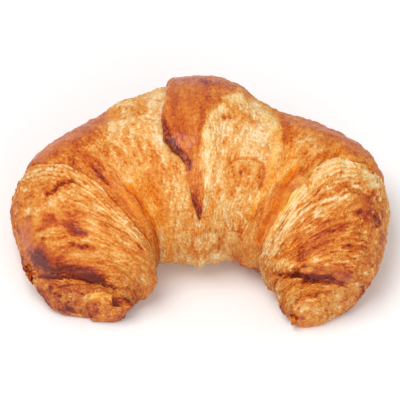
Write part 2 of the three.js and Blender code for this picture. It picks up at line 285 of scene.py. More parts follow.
# Marks on the crust: the path of each as stations and degrees, its half width in millimetres,
# how much browner, deeper and more orange it is, and the layer it is kept to, if any
marks = [
    # left wrap
    ([(-2.3, 54), (-2.8, 49), (-3.4, 44), (-3.9, 31), (-4.2, 12)], 7.0, 0.08, 0.0, 0.0),  # crest
    ([(-2.35, 62), (-2.2, 80)], 3.0, -0.06, 0.0, 0.0),  # golden top of it
    ([(-3.35, 86), (-3.1, 76)], 3.2, -0.10, 0.0, 0.0),  # its lighter shoulder
    ([(-3.7, 74), (-3.85, 88)], 2.4, 0.06, 0.0, 0.0),  # brown along its lip
    ([(-3.81, 92), (-3.91, 100)], 1.3, 0.20, 0.3, 0.0),  # scorched spot
    ([(-3.25, 116), (-3.16, 125), (-3.07, 135), (-2.92, 146), (-2.75, 168)], 2.8, 0.24, 0.6, 0.9),
    ([(-2.1, 126), (-1.95, 148), (-1.8, 166), (-1.7, 187)], 4.4, 0.08, 0.3, 0.45),  # golden, beside
    ([(-3.66, 116), (-3.72, 130), (-3.8, 143), (-4.1, 155)], 2.2, -0.05, 0.0, 0.5),  # by the horn
    ([(-2.6, 118), (-2.4, 150)], 5.0, 0.09, 0.3, 0.4),  # between the two
    # left horn
    ([(-5.92, 53), (-5.84, 66), (-5.89, 78), (-6.13, 87)], 2.8, 0.28, 0.4, 0.1),  # upper brown patch
    ([(-6.38, 48), (-6.57, 63), (-6.69, 74)], 1.6, 0.10, -0.2, 0.0),  # patch under it
    ([(-6.6, 56), (-6.66, 66)], 1.2, -0.16, 0.0, 0.0),  # pale flakes
    ([(-6.74, 60), (-6.85, 74), (-6.72, 89)], 1.8, 0.10, -0.5, 0.0),  # brown ridge
    ([(-6.79, 79), (-6.78, 91)], 1.6, 0.26, -0.5, 0.0),  # knob at its end
    ([(-6.05, 30), (-6.53, 32), (-7.0, 32), (-7.4, 34)], 4.6, 0.14, 0.0, 0.0),  # smooth red side
    ([(-6.85, 41), (-7.2, 52), (-7.55, 64), (-7.85, 78), (-8.1, 88)], 5.4, 0.32, 0.3, 0.0),  # darkest
    ([(-7.95, 84), (-8.2, 100), (-8.5, 116)], 2.2, 0.20, 0.5, 0.0),  # dark edge of the tip
    ([(-4.8, 16), (-5.6, 24), (-6.5, 3)], 4.0, 0.06, 0.0, 0.0),  # left flank
    ([(-6.5, 351), (-6.4, 334)], 3.0, 0.30, 0.0, 0.0),  # flake low on the left
    ([(-5.4, 14), (-5.4, 4)], 2.4, 0.22, 0.0, 0.0),  # flake at the far left
    ([(-5.15, 62), (-4.81, 71), (-4.42, 79)], 1.2, 0.34, 1.2, 0.2),  # slit in the opened leaves, darker inside: painted shade
    ([(-5.4, 64), (-5.1, 75), (-4.7, 84)], 1.1, -0.14, -0.3, 0.0),  # its pale rim
    ([(-5.6, 68), (-5.2, 85), (-5.04, 99)], 3.0, -0.08, 0.0, 0.0),  # pale above the patch
    ([(-4.5, 95), (-4.75, 107), (-5.0, 122), (-5.1, 140), (-5.1, 153)], 2.8, -0.12, 0.0, 0.2),
    ([(-6.14, 109), (-6.9, 129), (-7.3, 148)], 4.6, -0.07, 0.0, 0.2),  # golden lower right
    # left tip
    # darker crease across the left tip: painted shade in it
    ([(-7.22, 18), (-7.63, 37), (-8.0, 73), (-8.31, 92), (-8.71, 120)], 0.9, 0.30, 0.6, 0.0),
    ([(-8.0, 30), (-8.35, 66), (-8.7, 88)], 0.7, 0.16, 0.4, 0.0),  # crease under it, darker: painted shade
    ([(-8.92, 35), (-9.35, 72), (-9.34, 110)], 2.2, -0.26, 0.0, 0.6),  # golden end of the tip
    ([(-9.34, 122), (-9.5, 142)], 1.4, 0.42, 1.4, 0.0),  # its cavity, darker inside: painted shade
    ([(-9.17, 150), (-9.22, 172)], 2.2, 0.46, -0.9, 0.0),  # its browned nub
    ([(-7.6, 348), (-8.7, 352)], 5.0, 0.14, 0.0, 0.0),  # underside of the tip
    # tongue
    ([(-0.16, 135), (-0.06, 142), (0.02, 150)], 1.9, 0.16, 0.0, 0.0),  # its point
    # dark lower left corner of the tongue: browned crust, and painted shade under its overhanging rim
    ([(-1.12, 92), (-1.04, 102), (-0.8, 109), (-0.4, 114)], 2.7, 0.34, 0.2, 0.0, "tongue"),
    ([(0.14, 56), (0.2, 68), (0.06, 84), (0.02, 102)], 1.8, 0.12, 0.2, 0.0),  # dark flow
    ([(-0.46, 60), (-0.42, 78), (-0.3, 90)], 2.4, -0.08, 0.0, 0.0),  # painted highlight: its sheen
    ([(1.15, 48), (1.3, 34)], 3.4, 0.16, 0.0, 0.2),  # browned crust beside it
    ([(0.6, 77), (0.34, 87), (0.3, 95), (0.3, 113), (0.42, 128)], 1.7, -0.16, 0.2, 0.2),  # pale band
    ([(0.64, 75), (0.87, 68), (1.15, 58)], 1.6, -0.12, 0.0, 0.3),  # its upper branch
    ([(0.72, 82), (0.94, 80)], 0.8, 0.34, 1.2, 0.0),  # small cavity, darker inside: painted shade
    # middle, and the valley on its right
    ([(1.24, 122), (1.85, 117), (2.5, 119)], 4.4, 0.09, -0.5, 0.0),  # golden blister
    ([(0.99, 117), (1.44, 107), (1.96, 103), (2.48, 104), (2.7, 111), (2.72, 122)], 0.55, 0.22, 0.5,
     0.0, "middle"),  # its rim, a darker groove: painted shade
    # darker groove of an arc lower on the front: painted shade
    ([(1.35, 155), (1.83, 163), (2.52, 160), (2.75, 151)], 0.5, 0.16, 0.4, 0.0, "middle"),
    ([(-1.53, 106), (-1.5, 114), (-1.6, 121)], 1.9, 0.09, -0.3, 0.0),  # blister on the left
    ([(1.5, 62), (1.9, 76), (1.6, 92)], 6.0, -0.11, 0.0, 0.0),  # pale above it
    ([(1.91, 59), (2.36, 78), (2.68, 91), (2.78, 105)], 2.0, -0.12, 0.0, 0.5),  # pale right lip
    ([(2.2, 50), (2.74, 76), (3.0, 88)], 1.8, 0.12, 0.0, 0.3),  # brown beside it
    ([(3.1, 92), (3.15, 108)], 3.0, -0.10, 0.0, 0.3),  # golden below that
    ([(3.58, 101), (3.67, 112), (3.75, 122), (3.78, 134), (3.8, 158)], 2.0, 0.13, 0.5, 0.9),
    ([(4.05, 112), (4.12, 124), (4.25, 136), (4.4, 150)], 2.0, -0.10, 0.2, 0.7),  # golden beside it
    ([(3.0, 112), (2.95, 128), (2.8, 145)], 2.0, -0.06, 0.0, 0.6),
    ([(-0.59, 177), (0.29, 184), (1.33, 175)], 2.4, 0.20, 0.0, 0.0),  # browned low middle
    ([(-0.9, 190), (1.4, 192)], 2.4, -0.08, 0.0, 0.0),  # paler edge under it
    ([(2.3, 200), (2.76, 208), (3.65, 202), (4.4, 194)], 2.2, 0.22, 0.0, 0.1),  # darker bottom edge: painted shade underneath, with browned crust
    ([(-0.3, 160), (0.9, 164)], 1.6, 0.10, 0.0, 0.0),
    ([(2.07, 145), (2.78, 152), (2.58, 167)], 0.7, -0.16, -0.3, 0.0),  # pale arc
    ([(-1.0, 50), (-1.22, 83), (-1.42, 98), (-1.2, 110)], 2.6, -0.12, 0.0, 0.0),  # palest
    ([(-1.02, 120), (-1.02, 138), (-1.12, 158), (-1.33, 181)], 1.8, -0.04, 0.3, 0.0),  # pale strip
    ([(-1.8, 100), (-1.9, 118), (-1.7, 136)], 6.0, 0.12, 0.0, 0.1),  # orange left of it
    # right wrap
    ([(2.5, 50), (3.02, 50), (3.62, 44), (4.2, 34)], 4.6, 0.09, 0.0, 0.0),  # crest
    ([(3.0, 84), (3.3, 78), (3.65, 72)], 3.4, -0.10, -0.4, 0.0),  # blistered shoulder
    ([(3.72, 96), (3.76, 84), (3.93, 72), (4.05, 55)], 1.6, 0.08, 0.0, 0.2),  # brown right lip
    ([(3.35, 94), (3.45, 108)], 2.8, -0.12, 0.0, 0.2),  # its lower stretch
    # right horn
    ([(4.2, 88), (4.25, 73), (4.5, 60), (4.95, 42)], 3.6, -0.18, 0.0, 0.3),  # opened leaves
    ([(4.32, 108), (4.46, 119), (4.75, 132), (5.0, 144), (5.2, 160)], 5.4, -0.16, 0.0, 0.2),
    ([(4.85, 104), (4.79, 93), (4.92, 79), (5.16, 63), (5.46, 43)], 1.4, 0.09, 0.2, 0.0),  # leaf
    ([(4.93, 122), (4.96, 108), (5.11, 87), (5.35, 68)], 0.9, -0.18, -0.3, 0.0),  # pale line
    ([(5.35, 112), (5.35, 92), (5.5, 72)], 0.7, -0.12, -0.2, 0.0),  # another
    ([(6.3, 112), (6.05, 87), (5.67, 55)], 5.4, 0.17, 0.0, 0.0),  # crown
    ([(7.05, 94), (6.59, 70), (5.92, 34)], 2.4, 0.16, 0.0, 0.0),  # its lower edge
    ([(5.7, 44), (5.95, 35)], 2.2, 0.18, 0.0, 0.0),  # dark spot on the right
    ([(6.7, 61), (6.5, 45)], 2.6, 0.12, 0.0, 0.0),  # dark spot below it
    ([(5.2, 48), (5.8, 28), (6.6, 8)], 3.0, 0.10, 0.0, 0.0),  # right flank
    ([(5.9, 136), (6.1, 118)], 2.6, 0.06, 0.0, 0.5),  # orange part
    ([(4.12, 96), (4.22, 110)], 1.6, 0.10, 0.2, 0.3),  # golden rim by the wrap
    ([(6.01, 152), (6.8, 128), (7.0, 110), (7.04, 90)], 1.5, -0.18, -0.4, 0.3),  # fold over it
    # the next three strokes darken the slit under the right horn's lip: painted shade
    ([(6.92, 143), (7.37, 123), (7.62, 105), (7.69, 86), (7.72, 58), (7.72, 36)], 1.6, 0.36, 1.1, 0.0,
     "tipRight"),
    ([(6.95, 140), (7.28, 121), (7.46, 104), (7.52, 86), (7.56, 66), (7.62, 48)], 2.5, 0.22, 0.0, 0.0),
    ([(7.65, 116), (7.9, 97), (8.0, 78), (7.92, 46)], 2.2, 0.26, 0.9, 0.0, "tipRight"),
    ([(5.9, 168), (6.4, 158), (6.86, 145), (7.15, 132), (7.4, 117)], 1.3, 0.24, 0.5, 0.1),  # its left end, darkened the same way: painted shade
    # right tip
    ([(8.03, 14), (7.5, 350)], 4.0, 0.14, 0.0, 0.0),  # its flank
    ([(7.8, 146), (8.05, 96)], 3.0, -0.06, 0.0, 0.0),  # its paler front
    ([(8.0, 150), (8.6, 105), (8.8, 60)], 7.0, 0.0, 0.0, 0.4),  # its golden tone
    ([(8.6, 60), (8.9, 100)], 2.0, 0.12, 0.2, 0.0),  # brown fold across it
    ([(9.4, 199), (9.2, 190)], 2.6, 0.22, 0.0, 0.0),  # its nub
]

# Where the crust is tight and smooth: paths as for the marks, half width, strength
smooths = [
    ([(-3.4, 108), (-3.3, 123), (-3.1, 138), (-2.6, 166)], 5.0, 0.5),  # left valley
    ([(-1.9, 130), (-1.7, 148), (-1.6, 187)], 3.6, 0.3),
    ([(-3.8, 112), (-4.0, 150)], 3.0, 0.6),
    ([(3.6, 104), (3.7, 122), (3.7, 160)], 4.0, 0.45),  # right valley
    ([(4.0, 106), (4.1, 140), (4.2, 158)], 3.2, 0.6),
    ([(2.3, 75), (2.65, 92), (2.8, 112)], 2.4, 0.6),  # right lip of the middle
    ([(-6.05, 30), (-6.53, 32), (-7.4, 34)], 5.0, 0.9),  # side of the left horn
    ([(-6.9, 46), (-7.15, 61), (-7.7, 86)], 4.4, 0.6),
    ([(-5.9, 54), (-5.77, 68), (-6.0, 88)], 4.0, 0.6),
    ([(6.25, 108), (6.0, 85), (5.7, 58)], 5.0, 0.25),  # crown of the right horn
    ([(-0.4, 40), (-0.5, 92)], 9.0, 0.5),  # tongue
    ([(-2.6, 50), (-3.4, 46), (-3.9, 36)], 7.0, 0.6),  # crest of the left wrap
    ([(2.6, 50), (3.3, 50), (3.9, 42)], 6.0, 0.5),  # and of the right one
    ([(7.2, 118), (7.62, 92), (7.82, 48)], 3.0, 1.0),  # slit of the right tip
]

# Where the crumb shows through, open and porous: paths as for the marks, half width, strength
crumbs = [
    ([(4.45, 98), (4.6, 116), (4.85, 136), (5.1, 156)], 6.5, 1.0),  # front of the right horn
    ([(4.4, 80), (4.5, 62), (4.8, 42), (5.2, 25)], 3.2, 0.7),  # its top
    ([(-4.4, 88), (-4.3, 66), (-4.35, 44), (-4.6, 22), (-5.2, 12)], 2.6, 0.8),  # top of the left
    ([(-2.3, 48), (-2.2, 66), (-1.8, 86)], 7.0, 0.6),  # left of the middle
    ([(1.3, 52), (1.7, 70), (2.1, 90)], 6.0, 0.3),  # right of it
    ([(-8.8, 30), (-9.3, 100)], 4.0, 0.9),  # left tip
    ([(8.1, 150), (8.7, 100), (8.8, 60)], 6.0, 0.9),  # right tip
    ([(-5.3, 60), (-5.2, 90), (-5.4, 110)], 3.0, 0.5),  # left horn
]

# Relief of the crust in millimetres, and how far each pattern changes its browning: webs and crumb
# make it paler, flecks paler as pale dough with painted glints, pores and hollows darker in their
# pits as painted shade, and leaves paler with a dark line of painted shade at their foot. A pair is
# where a change begins and where it ends, in the pattern's own values if nothing else is said.
crust = {
    "waveHigh": 0.22,
    "lumpHigh": 0.26, "lumpBrown": 0.05,
    "streakHigh": 0.15, "streakBrown": 0.06, "streakEnd": (7.8, 9.2),       # stations
    # pores are darker in their pits: painted shade
    "poreDeep": 0.6, "poreShade": 0.18, "poreCut": (1.1, 2.0),
    "webHigh": 0.22, "webGrain": 3.8, "webStretch": 1.25, "webBrown": 0.19, "webCut": (0.02, 0.26),
    "webWarp": 0.5, "warpGrain": 0.8,
    # flecks are paler: pale dough, with painted glints
    "fleckHigh": 0.12, "fleckPaleAndGlint": 0.11, "fleckCut": (0.5, 1.3),
    "grainHigh": 0.06, "grainBrown": 0.04,
    "patchBrown": 0.05, "patchLeast": 0.4,      # what tight crust keeps of the patches
    # hollows are darker inside: painted shade
    "hollowDeep": 0.55, "hollowShade": 0.11, "hollowCut": (0.7, 1.4),
    "crumbPale": 0.05, "crumbPores": 0.6, "crumbWeb": 0.5,      # what open crumb adds
    "orangeCalm": 0.3, "calmest": 0.85, "flowLeast": 0.35,      # how far tight crust evens out
    "leafHigh": 0.8, "leafThick": 2.3, "leafPeak": 0.82, "leafWander": 0.16, "leafLeast": 0.3,
    # a dark line at the foot of each leaf, under the edge before it: painted shade
    "leafShadeLine": 0.34, "leafShadeWide": 0.2, "leafPale": 0.14,
    "leafStart": (-0.5, 0.6),                   # millimetres from the foot
    "leafBreak": (-0.8, 0.8),
    "leafFade": (0.55, 1.0),                    # shares of the layer's leafReach
    "leafEnd": (7.6, 8.6),                      # stations
    "even": 0.45, "contrast": 1.12,             # the browning is spread round this value
    "lipFade": (0.8, 1.0),                      # shares of the layer
    "lipWander": 0.18,                          # of a lip along the roll, in stations
    "strokeFade": (0.3, 1.5),                   # in half widths of a stroke
    "fray": 0.3, "frayTurn": 0.0167,            # of a mark's outline, millimetres and radians
    "frayWidest": 2.6, "frayKept": 0.4, "frayGrain": 4.0, "frayStretch": 1.3,
    "fraySeeds": (66, 76),                      # of the noises along the roll and round it
    "softFray": 0.5, "softFrom": (-2.5, -1),    # colour across soft edges, the pair in stations
}

# Clouds of noise on the rolled surface: grain in millimetres, how much longer round the roll than
# along it, what is added to the layer's seed, and octaves
clouds = {
    "wave": (14.0, 1.0, 0, 2), "lump": (3.6, 1.3, 7, 3), "streak": (1.6, 3.6, 13, 3),
    "pore": (2.0, 1.5, 19, 2), "fleck": (1.3, 2.2, 37, 3), "hollow": (2.6, 2.0, 53, 2),
    "grain": (0.8, 1.5, 43, 2), "patch": (8.0, 1.4, 47, 3),
}


# Height of a layer over the plain loft, by its share of the way from foot to lip: it sinks in at
# the foot, bulges as a sine between and rises to the lip. The middle one has a lip at both ends.
def layerRelief(name, share, angle):
    layer = layers[name]
    foot = roundTheRoll(edges[layer["foot"]]["step"], angle)
    lip = roundTheRoll(edges[layer["lip"]]["step"], angle) if layer["lip"] else 0.0
    bulge = layer["crown"] * np.sin(np.pi * np.clip(share, 0, 1))
    if name.startswith("wrap"):
        bulge = bulge * ease(0, roll["wrapEase"], share)
    bulge = bulge + roll["swell"]
    if name == "middle":
        near, far = roll["middleLip"]
        return bulge + roll["lipShare"] * (foot * (1 - ease(near, far, share))
                                           + lip * ease(1 - far, 1 - near, share))
    sunk = roll["footShare"] * foot * (1 - ease(0, roll["footSpan"], share))
    if "soft" in edges[layer["foot"]]:
        flush = 1 - ease(*roll["flushSpan"], share)
        sunk = sunk - (sunk + roll["lipShare"] * foot) * flush
    return bulge - sunk + roll["lipShare"] * lip * ease(*roll["lipSpan"], share)


# Patterns that the relief and the colour share. The clouds spread by about 1 on either side of 0;
# web, pore, fleck and hollow run from 0 to 1, and the web is where a warped cloud passes through 0.
def crustPatterns(station, angle, seed):
    c = crust
    made = {name: cloud(onRoll(station, angle, grain, stretch), seed + more, octaves)
            for name, (grain, stretch, more, octaves) in clouds.items()}
    for name in ("pore", "fleck", "hollow"):
        made[name] = ease(*c[name + "Cut"], made[name])
    made["streak"] = (1 - ease(*c["streakEnd"], np.abs(station))) * made["streak"]
    q = onRoll(station, angle, c["webGrain"], c["webStretch"])
    warp = np.stack([cloud(q * c["warpGrain"], seed + 23 + 2 * k, 2) for k in range(3)], -1)
    made["web"] = 1 - ease(*c["webCut"], np.abs(cloud(q + c["webWarp"] * warp, seed + 31, 2)))
    return made


# How strongly a stroke covers each place: 1 on its path, fading out around its half width, by the
# distance in millimetres on the rolled-out surface
def strokeCover(station, angle, path, wide):
    middle = np.radians(np.mean([turn for _, turn in path]))
    turned = np.mod(angle - middle + np.pi, 2 * np.pi) - np.pi
    radius = girthAt(np.mean([at for at, _ in path]))
    x, y = station * roll["stationLength"], turned * radius
    points = [(at * roll["stationLength"], (math.radians(turn) - middle) * radius)
              for at, turn in path]
    nearest = np.full(np.broadcast(x, y).shape, 1e9)
    for (ax, ay), (bx, by) in zip(points, points[1:]):
        dx, dy = bx - ax, by - ay
        t = np.clip(((x - ax) * dx + (y - ay) * dy) / (dx * dx + dy * dy), 0, 1)
        nearest = np.minimum(nearest, (x - ax - t * dx) ** 2 + (y - ay - t * dy) ** 2)
    return 1 - ease(*crust["strokeFade"], np.sqrt(nearest) / wide)


# How strongly a list of strokes covers each place: their covers times their strengths, added up
def allCovers(strokes, station, angle):
    return sum(strong * strokeCover(station, angle, path, wide) for path, wide, strong in strokes)


# Browning, depth and orange tint that the marks add, with their outlines frayed by noise
def markedCrust(name, station, angle):
    q = onRoll(station, angle, crust["frayGrain"], crust["frayStretch"])
    alongSeed, roundSeed = crust["fraySeeds"]
    offAlong = crust["fray"] / roll["stationLength"] * cloud(q, alongSeed, 3)
    offRound = crust["frayTurn"] * cloud(q, roundSeed, 3)
    brown = deep = orange = 0.0
    for path, wide, browner, deeper, oranger, *only in marks:
        if only and name not in only:
            continue
        ragged = min(wide, crust["frayWidest"]) * (crust["frayKept"] if only else 1.0)
        cover = strokeCover(station + offAlong * ragged, angle + offRound * ragged, path, wide)
        brown = brown + browner * cover
        deep = deep + deeper * cover
        orange = orange + oranger * cover
    return brown, deep, np.clip(orange, 0, 1)


# Opened leaves of dough beside a foot: saw teeth in the distance from it, each rising to a thin
# edge and dropping off, broken up round the roll
def leafPattern(far, leafReach, station, angle, seed):
    c = crust
    wander = c["leafWander"] * cloud(onRoll(station, angle, 13.0, 1.6), seed + 3, 2)
    turn = np.mod(far / c["leafThick"] + wander, 1)
    tooth = np.where(turn < c["leafPeak"], turn / c["leafPeak"], (1 - turn) / (1 - c["leafPeak"]))
    broken = c["leafLeast"] + (1 - c["leafLeast"]) * ease(
        *c["leafBreak"], cloud(onRoll(station, angle, 6.0, 2.5), seed + 5, 2))
    fade = (1 - ease(*c["leafFade"], far / leafReach)) * ease(*c["leafStart"], far)
    return tooth, broken * fade


# Depth of colour of a layer before its patterns; across the soft edges of the middle the layers
# on both sides run into each other
def plainBrown(name, station, angle):
    brown = layers[name]["brown"]
    for edge, inside, outside in (("leftMiddle", "middle", "wrapLeft"),
                                  ("rightMiddle", "middle", "wrapRight")):
        if name not in (inside, outside):
            continue
        side = np.sign(edges[edge]["place"][0])
        past = side * (station - roundTheRoll(edges[edge]["place"], angle)) * roll["stationLength"]
        soft = roundTheRoll(edges[edge]["soft"], angle)
        frayed = past + crust["softFray"] * soft * cloud(onRoll(station, angle, 6.0, 1.5), 211, 3)
        outer = ease(-1, 1, frayed / soft)
        if name == "middle":
            on = ease(*crust["softFrom"], side * station)
            brown = brown + on * outer * (layers[outside]["brown"] - layers["middle"]["brown"])
        else:
            brown = brown + (1 - outer) * (layers["middle"]["brown"] - layers[outside]["brown"])
    return brown


# Relief and colour of one layer at each station and angle: its plain height and browning, with
# knobs, marks, leaves and patterns added, the fine ones less where the crust is tight
def dressedCrust(name, share, station, angle, part=None):
    layer = layers[name]
    seed = layer["seed"]
    c = crust
    p = crustPatterns(station, angle, seed)
    brown, deep, orange = markedCrust(part or name, station, angle)
    side = 1 if name == "middle" else np.sign(edges[layer["foot"]]["place"][0])
    foot = roundTheRoll(edges[layer["foot"]]["place"], angle)
    far = np.maximum(side * (station - foot), 0) * roll["stationLength"]
    tooth, leaves = leafPattern(far, layer["leafReach"], station, angle, seed)
    leaves = leaves * layer["leaves"]
    leaves = leaves * (1 - ease(*c["leafEnd"], np.abs(station)))
    smooth = np.clip(allCovers(smooths, station, angle), 0, c["calmest"])
    calm = (1 - c["orangeCalm"] * orange) * (1 - smooth)
    flow = c["flowLeast"] + (1 - c["flowLeast"]) * calm
    crumb = allCovers(crumbs, station, angle)
    lump, streak = p["lump"] * layer["lumps"], p["streak"] * layer["streaks"]
    pore = p["pore"] * layer["pores"] * (1 + c["crumbPores"] * crumb)
    web = p["web"] * layer["web"] * (1 + c["crumbWeb"] * crumb)
    fleck = p["fleck"] * layer["flecks"]
    hollow = crumb * p["hollow"]
    relief = (layerRelief(name, share, angle) + knobRelief(station, angle) - deep
              + c["waveHigh"] * p["wave"] + c["leafHigh"] * leaves * (tooth - 0.5)
              + flow * c["streakHigh"] * streak
              + calm * (c["lumpHigh"] * lump + c["webHigh"] * web
                        + c["fleckHigh"] * fleck + c["grainHigh"] * p["grain"]
                        - c["poreDeep"] * pore - c["hollowDeep"] * hollow))
    patch = c["patchBrown"] * p["patch"] * layer["patches"]
    brown = (plainBrown(name, station, angle) + brown
             + (c["patchLeast"] + (1 - c["patchLeast"]) * calm) * patch
             + layer["footPale"] * np.exp(-(far / layer["footReach"]) ** 2)
             + layer["lipBrown"] * ease(*c["lipFade"], share)
             # leaves: a dark line of painted shade at their foot, paler towards their edges
             + leaves * (c["leafShadeLine"] * np.exp(-tooth / c["leafShadeWide"]) - c["leafPale"] * tooth)
             + flow * c["streakBrown"] * streak
             # pores and hollows are darker in their pits: painted shade; flecks are paler, with painted
             # glints
             + calm * (c["lumpBrown"] * lump
                       + c["grainBrown"] * p["grain"] + c["poreShade"] * pore
                       - c["webBrown"] * web - c["fleckPaleAndGlint"] * fleck
                       + c["hollowShade"] * hollow - c["crumbPale"] * crumb))
    brown = c["even"] + (brown - c["even"]) * c["contrast"]
    return relief, {"brown": np.clip(brown, 0, 1), "orange": orange, "calm": 1 - calm}


# Angles round the roll, closer together on top than underneath: their density is 1 + crowd sin
def ringAngles(count):
    crowd = 0.45
    fine = np.linspace(0, 2 * np.pi, 4001)
    return np.interp(np.arange(count) / count,
                     (fine - crowd * np.cos(fine) + crowd) / (2 * np.pi), fine)


# Closed mesh from a grid of rings: neighbours are joined by four-sided faces, and each end by a
# fan to a point. It is turned over if its volume comes out negative. shift goes to the frame.
def tubeMesh(name, rings, ends, values, shift):
    count, around = rings.shape[:2]
    points = np.concatenate([rings.reshape(-1, 3), ends]) / 1000 + shift
    r = np.arange(around)
    nextR = (r + 1) % around
    c = np.arange(count - 1)[:, None] * around
    quads = np.stack([c + r, c + nextR, c + around + nextR, c + around + r], -1).reshape(-1, 4)
    firstEnd, lastEnd = len(points) - 2, len(points) - 1
    last = (count - 1) * around
    fans = np.concatenate([np.stack([np.full(around, firstEnd), nextR, r], -1),
                           np.stack([np.full(around, lastEnd), last + r, last + nextR], -1)])
    a, b, c, d = (points[quads[:, k]] for k in range(4))
    volume = np.sum(a * np.cross(b, c) + a * np.cross(c, d))
    if volume < 0:
        quads, fans = quads[:, ::-1], fans[:, ::-1]
    corners = np.concatenate([quads.ravel(), fans.ravel()])
    starts = np.concatenate([np.arange(len(quads)) * 4, len(quads) * 4 + np.arange(len(fans)) * 3])
    mesh = bpy.data.meshes.new(name)
    mesh.vertices.add(len(points))
    mesh.vertices.foreach_set("co", points.astype(np.float32).ravel())
    mesh.loops.add(len(corners))
    mesh.loops.foreach_set("vertex_index", corners.astype(np.int32))
    mesh.polygons.add(len(starts))
    mesh.polygons.foreach_set("loop_start", starts.astype(np.int32))
    mesh.update(calc_edges=True)
    mesh.validate()
    mesh.shade_smooth()
    for key, value in values.items():
        flat = np.concatenate([value.ravel(), np.full(2, float(np.mean(value)))])
        layer = mesh.attributes.new(key, "FLOAT", "POINT")
        layer.data.foreach_set("value", flat.astype(np.float32))
    piece = bpy.data.objects.new(name, mesh)
    bpy.context.scene.collection.objects.link(piece)
    return piece


# How the layers end, in shares of the way from foot to lip and in millimetres
shell = {
    "start": -0.07,          # a hidden foot begins this far before its edge
    "softStart": -0.11,      # and further back beside a soft edge
    "flush": 0.0,            # where it has risen to its own height
    "softFlush": -0.07,      # and beside a soft edge
    "startSunk": 0.8,        # how deep it begins
    "footSunk": 3.0,         # how deep the rings that close a foot lie
    "lipSunk": 5.0,          # and those that close a lip
    "hide": [0.75, 0.88, 0.96],     # size of these rings
    "fold": 1.9,             # radians through which a lip rolls over
    "foldRings": 8,
    "tuckIn": 0.3,           # its last but one ring, in radii past the lip
    "tuckDown": (2.5, 4.0),  # how far its last two rings lie below the fold's centre
    "closed": 0.985,         # share of a tip's end that its rings cover
    "wanders": ((0.06, 2.5, 301), (0.4, 14.0, 303)),    # of a lip: strength, grain, seed
}


# One layer as a closed drum: its hidden foot comes out from under the lip before it, its surface
# runs to its own lip, which rolls over and tucks back in, and both ends shrink to a point inside.
def layerShell(name, along=150, around=560, closingRings=24):
    layer = layers[name]
    angle = ringAngles(around)[None, :]
    side = -1 if "Left" in name else 1
    footAt = roundTheRoll(edges[layer["foot"]]["place"], angle)
    lipAt = (roundTheRoll(edges[layer["lip"]]["place"], angle) if layer["lip"]
             else np.full(angle.shape, side * tipStation * 1.0))
    wander = crust["lipWander"] * sum(strong * cloud(onRoll(lipAt, angle, grain), seed, 2)
                                      for strong, grain, seed in shell["wanders"])
    fold = np.linspace(0, shell["fold"], shell["foldRings"] + 1)[1:]
    radius = layer["lipRadius"]
    over = np.concatenate([radius * np.sin(fold), [radius * shell["tuckIn"], 0.0]])
    down = np.concatenate([radius * (1 - np.cos(fold)), [radius + far for far in shell["tuckDown"]]])
    hide = np.array(shell["hide"])
    hidden = len(hide)
    zero = np.zeros
    footDeep, lipDeep = np.full(hidden, shell["footSunk"]), np.full(hidden, shell["lipSunk"])
    soft = "soft" in edges[layer["foot"]] and layer["lip"]
    start, flush = shell["softStart" if soft else "start"], shell["softFlush" if soft else "flush"]
    body = np.linspace(0 if name == "middle" else start, 1, along)
    first = np.full(hidden, start)
    rising = shell["startSunk"] * (1 - ease(start, flush, body))
    # Each ring: share of the way to the lip, millimetres past it, lowered by, drawn in to
    if name == "middle":
        share = np.concatenate([zero(hidden + len(over)), body, np.ones(len(over) + hidden)])
        past = np.concatenate([zero(hidden), -over[::-1], zero(along), over, zero(hidden)])
        sunk = np.concatenate([lipDeep, down[::-1], zero(along), down, lipDeep])
        draw = np.concatenate([hide, np.ones(len(over) * 2 + along), hide[::-1]])
        wander = wander * (ease(0.7, 1.0, share) - (1 - ease(0, 0.3, share)))[:, None] / 3
    elif layer["lip"]:
        share = np.concatenate([first, body, np.ones(len(over) + hidden)])
        past = np.concatenate([zero(hidden + along), over, zero(hidden)])
        sunk = np.concatenate([footDeep, rising, down, lipDeep])
        draw = np.concatenate([hide, np.ones(along + len(over)), hide[::-1]])
        wander = wander * ease(0.7, 1.0, share)[:, None] * side
    else:
        share = np.concatenate([first, body, np.ones(closingRings)])
        past = zero(len(share))
        sunk = np.concatenate([footDeep, rising, zero(closingRings)])
        draw = np.concatenate([hide, np.ones(along + closingRings)])
        wander = 0
    share, past, sunk, draw = (v[:, None] for v in (share, past, sunk, draw))
    station = footAt + (lipAt - footAt) * share + side * past / roll["stationLength"] + wander
    if not layer["lip"]:
        closing = np.zeros(station.shape)
        closing[-closingRings:] = np.linspace(0, shell["closed"], closingRings + 1)[1:, None]
        station = station + side * closing
        share = roll["tipBulge"] * (station - footAt) / (side * (tipStation + 1) - footAt)
    angle = np.broadcast_to(angle, station.shape)
    relief, looks = dressedCrust(name, share, station, angle)
    rings = crustPoint(station, angle, relief - sunk, draw)
    if layer["lip"]:
        ends = np.stack([rings[0].mean(0), rings[-1].mean(0)])
    else:
        tip = crustPoint(np.full(1, side * (tipStation + 1.0)), np.zeros(1), np.zeros(1))[0]
        ends = np.stack([rings[0].mean(0), tip])
    print("layer", name)
    return name, rings, ends, looks


